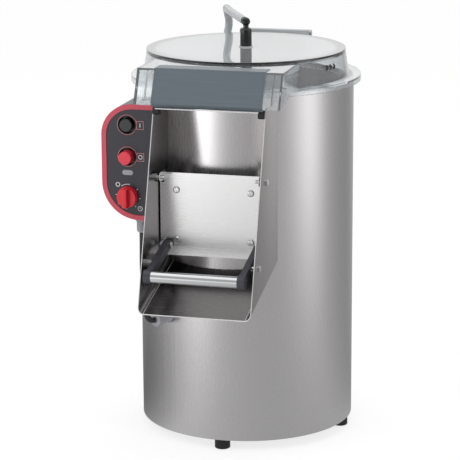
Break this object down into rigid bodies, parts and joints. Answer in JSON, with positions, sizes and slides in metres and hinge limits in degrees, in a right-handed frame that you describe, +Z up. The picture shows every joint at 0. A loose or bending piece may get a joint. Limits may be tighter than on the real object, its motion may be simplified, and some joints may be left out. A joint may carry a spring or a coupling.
{
  "type": "electric potato peeler",
  "caption": "Steel drum peeler on rubber feet with a clear hinged lid and water hose, a front chute with a door and lift handle, and a side control box with buttons and a timer knob.",
  "frame": {"origin": "on the floor under the drum's axis, level with the underside of the feet", "axes": "+Z up along the drum's axis, -Y to the front where the chute is, +X to the right hand of someone facing the front"},
  "size_m": [0.4225, 0.632, 0.7599],
  "materials": {
    "shell_steel": "brushed",
    "bright_steel": "polished",
    "hinge_steel": "satin",
    "black_rubber": "matte",
    "cast_aluminium": "cast",
    "motor_paint": "painted",
    "abrasive": "rough grit",
    "liner": "rough",
    "grey_plastic": "satin",
    "lid_clear": "clear gloss",
    "hood_grey": "gloss",
    "arm_plastic": "satin",
    "box_grey": "satin",
    "panel_dark": "satin",
    "border_red": "gloss",
    "start_black": "gloss",
    "stop_red": "gloss",
    "knob_red": "gloss",
    "electrical": "matte",
    "magnet": "plated",
    "gland_grey": "satin",
    "cable_black": "matte",
    "hose_grey": "satin",
    "fitting": "satin"
  },
  "bodies": {
    "frame": {"body_shell": "shell_steel", "base_shell": "shell_steel", "chute": "shell_steel", "motor_shelf": "shell_steel", "base_plate": "shell_steel", "chamber_floor": "shell_steel", "valve_bracket": "shell_steel", "hinge_bracket": "shell_steel", "hinge_pins": "bright_steel", "keeper_bolts": "bright_steel", "hinge_rod": "bright_steel", "foot_screws": "bright_steel", "bearings": "bright_steel", "feet": "black_rubber", "bumpers": "black_rubber", "shaft_seal": "black_rubber", "belt": "black_rubber", "bearing_housing": "cast_aluminium", "motor": "motor_paint", "chamber_liner": "liner", "waste_pipe": "grey_plastic", "waste_collar": "grey_plastic", "control_box": "box_grey", "panel_face": "panel_dark", "panel_border": "border_red", "button_collars": "border_red", "button_contacts": "electrical", "timer_unit": "electrical", "lid_switch": "electrical", "cable_glands": "gland_grey", "control_cable": "cable_black", "water_hose": "hose_grey", "water_valve": "fitting"},
    "door": {"door_plate": "bright_steel", "door_block": "grey_plastic", "door_gasket": "black_rubber", "door_screws": "bright_steel", "handle_pivots": "bright_steel"},
    "handle": {"handle_arms": "arm_plastic", "handle_tube": "bright_steel"},
    "lid": {"lid_cover": "lid_clear", "lid_disc": "lid_clear", "lid_seal": "black_rubber", "hood": "hood_grey", "hinge_bar": "hinge_steel", "hinge_strap": "shell_steel", "strap_screws": "bright_steel", "water_elbow": "fitting", "spray_nozzle": "fitting", "lid_magnet": "magnet"},
    "rotor": {"spindle": "bright_steel", "turntable": "cast_aluminium", "grit_disc": "abrasive", "hub_nut": "bright_steel", "driven_pulley": "cast_aluminium"},
    "motor_rotor": {"motor_shaft": "bright_steel", "motor_pulley": "cast_aluminium"},
    "start_key": {"start_button": "start_black"},
    "stop_key": {"stop_button": "stop_red"},
    "timer": {"timer_knob": "knob_red"}
  },
  "joints": [
    {"name": "door_swing", "type": "hinge", "parent": "frame", "child": "door", "pos_m": [0, -0.249, 0.51], "axis": [-1, 0, 0], "range_deg": [0, 55]},
    {"name": "handle_lift", "type": "hinge", "parent": "door", "child": "handle", "pos_m": [0, -0.238, 0.387], "axis": [-1, 0, 0], "range_deg": [0, 35]},
    {"name": "lid_hinge", "type": "hinge", "parent": "frame", "child": "lid", "pos_m": [0, 0.225, 0.697], "axis": [-1, 0, 0], "range_deg": [0, 85], "deforming": ["water_hose"]},
    {"name": "turntable_spin", "type": "hinge", "parent": "frame", "child": "rotor", "pos_m": [0, 0, 0.2], "axis": [0, 0, 1], "continuous": true},
    {"name": "motor_spin", "type": "hinge", "parent": "frame", "child": "motor_rotor", "pos_m": [0.112, 0, 0.2], "axis": [0, 0, 1], "continuous": true},
    {"name": "start_press", "type": "slide", "parent": "frame", "child": "start_key", "axis": [0, 1, 0], "range_m": [0, 0.004], "stiffness_N_per_m": 400, "springref_m": -0.002},
    {"name": "stop_press", "type": "slide", "parent": "frame", "child": "stop_key", "axis": [0, 1, 0], "range_m": [0, 0.004], "stiffness_N_per_m": 400, "springref_m": -0.002},
    {"name": "timer_turn", "type": "hinge", "parent": "frame", "child": "timer", "pos_m": [-0.167, -0.19, 0.4579], "axis": [0, 1, 0], "range_deg": [0, 300]}
  ],
  "couplings": [
    {"joint": "motor_spin", "follows": "turntable_spin", "ratio": 3}
  ]
}
